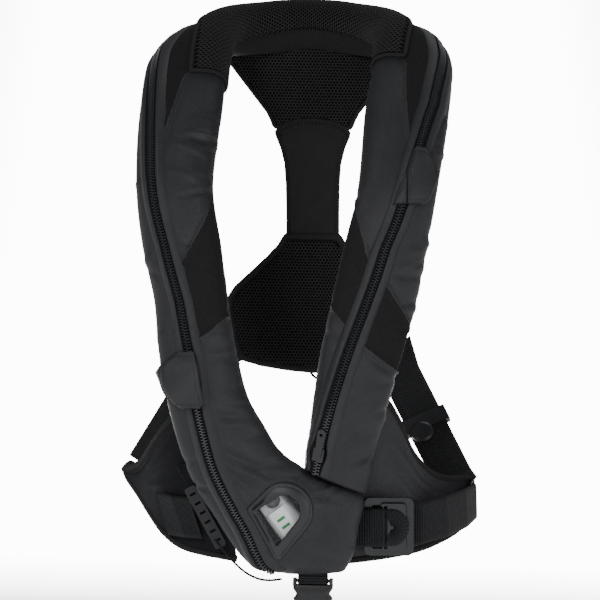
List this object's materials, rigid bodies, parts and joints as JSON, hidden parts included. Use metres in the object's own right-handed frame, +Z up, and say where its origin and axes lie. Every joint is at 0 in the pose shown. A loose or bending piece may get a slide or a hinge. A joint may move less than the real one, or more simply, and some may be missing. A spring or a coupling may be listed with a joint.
{
  "type": "inflatable life jacket",
  "caption": "Inflatable life jacket: folded twin-lobe bladder in a zipped horseshoe cover with a windowed inflator flap, on a mesh back panel and waist harness with a hook buckle.",
  "frame": {"origin": "the wearer's centre line at shoulder height, in the middle of the neck opening", "axes": "+Z up along the wearer, -Y the wearer's front, +X the wearer's left"},
  "size_m": [0.3617, 0.2971, 0.5726],
  "materials": {
    "softshell_black": "matte",
    "mesh_black": "matte",
    "nylon_charcoal": "satin",
    "bladder_yellow": "satin",
    "zip_chain": "satin",
    "zip_metal": "gloss",
    "bezel_charcoal": "satin",
    "window_clear": "gloss",
    "inflator_white": "satin",
    "indicator_green": "gloss",
    "lever_grey": "satin",
    "plain_steel": "brushed",
    "cartridge_yellow": "matte",
    "cylinder_steel": "satin",
    "toggle_red": "satin",
    "cord_black": "matte",
    "tube_black": "matte",
    "valve_brass": "satin",
    "whistle_orange": "gloss",
    "webbing_black": "satin",
    "buckle_black": "satin",
    "buckle_steel": "brushed",
    "grip_rubber": "matte"
  },
  "bodies": {
    "jacket": {"collar_cover": "softshell_black", "collar_mesh": "mesh_black", "left_lobe_cover": "nylon_charcoal", "right_lobe_cover": "nylon_charcoal", "inflator_cover": "nylon_charcoal", "folded_bladder": "bladder_yellow", "left_zip": "zip_chain", "right_zip": "zip_chain", "window_bezel": "bezel_charcoal", "window_lens": "window_clear", "inflator_body": "inflator_white", "status_strips": "indicator_green", "firing_spring": "plain_steel", "water_cartridge": "cartridge_yellow", "bladder_manifold": "lever_grey", "toggle_sleeve": "nylon_charcoal", "edge_cord": "cord_black", "oral_tube": "tube_black", "oral_valve": "valve_brass", "whistle": "whistle_orange", "lifting_loop": "webbing_black", "back_yoke": "mesh_black", "spine_panel": "softshell_black", "lumbar_pad": "mesh_black", "belt_back": "webbing_black", "belt_left": "webbing_black", "belt_right": "webbing_black", "belt_left_front": "webbing_black", "belt_right_front": "webbing_black", "left_wing": "nylon_charcoal", "right_wing": "nylon_charcoal", "buckle_strap": "webbing_black", "buckle_frame": "buckle_steel", "belt_grip": "grip_rubber", "crotch_web": "webbing_black", "back_loop": "cord_black"},
    "left_slider": {"left_zip_slider": "zip_metal"},
    "right_slider": {"right_zip_slider": "zip_metal"},
    "left_tab": {"left_zip_tab": "nylon_charcoal"},
    "right_tab": {"right_zip_tab": "nylon_charcoal"},
    "lever": {"firing_lever": "lever_grey"},
    "pin": {"firing_pin": "plain_steel"},
    "toggle": {"pull_toggle": "toggle_red"},
    "gas_bottle": {"gas_cylinder": "cylinder_steel"},
    "sensor": {"sensor_cap": "lever_grey"},
    "mouth_cap": {"oral_cap": "toggle_red"},
    "hook": {"buckle_hook": "buckle_steel"},
    "strap_slider": {"belt_slider": "buckle_black", "slider_stud": "buckle_black"},
    "crotch_clip": {"crotch_buckle": "buckle_black"}
  },
  "joints": [
    {"name": "left_zip_slide", "type": "slide", "parent": "jacket", "child": "left_slider", "axis": [0.2209, -0.0335, 0.9747], "range_m": [0, 0.012]},
    {"name": "right_zip_slide", "type": "slide", "parent": "jacket", "child": "right_slider", "axis": [-0.1673, 0.1343, 0.9767], "range_m": [-0.006, 0.008]},
    {"name": "left_tab_hinge", "type": "hinge", "parent": "jacket", "child": "left_tab", "pos_m": [0.12453, -0.12701, -0.08466], "axis": [0.0698, -0.448, -0.8913], "range_deg": [0, 90]},
    {"name": "right_tab_hinge", "type": "hinge", "parent": "jacket", "child": "right_tab", "pos_m": [-0.11681, -0.17211, -0.28924], "axis": [0.0039, -0.1254, -0.9921], "range_deg": [0, 90]},
    {"name": "toggle_slide", "type": "slide", "parent": "jacket", "child": "toggle", "axis": [0, 0, -1], "range_m": [0, 0.02]},
    {"name": "lever_hinge", "type": "hinge", "parent": "jacket", "child": "lever", "pos_m": [-0.00463, -0.157, -0.40471], "axis": [0, 1, 0], "range_deg": [0, 50]},
    {"name": "pin_slide", "type": "slide", "parent": "jacket", "child": "pin", "axis": [-0.6018, 0, 0.7986], "range_m": [0, 0.0038]},
    {"name": "cylinder_twist", "type": "hinge", "parent": "jacket", "child": "gas_bottle", "pos_m": [-0.01204, -0.157, -0.40103], "axis": [-0.6018, 0, 0.7986], "range_deg": [0, 90]},
    {"name": "sensor_cap_twist", "type": "hinge", "parent": "jacket", "child": "sensor", "pos_m": [0.01806, -0.157, -0.44096], "axis": [-0.6018, 0, 0.7986], "range_deg": [0, 90]},
    {"name": "oral_cap_slide", "type": "slide", "parent": "jacket", "child": "mouth_cap", "axis": [-0.1748, -0.1049, -0.979], "range_m": [0, 0.01]},
    {"name": "buckle_hook_hinge", "type": "hinge", "parent": "jacket", "child": "hook", "pos_m": [0.10188, -0.13968, -0.434], "axis": [0, 0, 1], "range_deg": [-75, 0]},
    {"name": "strap_slider_slide", "type": "slide", "parent": "jacket", "child": "strap_slider", "axis": [0.4688, -0.5444, -0.6956], "range_m": [-0.012, 0.012]},
    {"name": "crotch_buckle_hinge", "type": "hinge", "parent": "jacket", "child": "crotch_clip", "pos_m": [0.034, -0.156, -0.4865], "axis": [1, 0, 0], "range_deg": [-45, 60]}
  ],
  "couplings": [
    {"joint": "lever_hinge", "follows": "toggle_slide", "rad_per_m": 43.5},
    {"joint": "pin_slide", "follows": "toggle_slide", "ratio": 0.19}
  ]
}
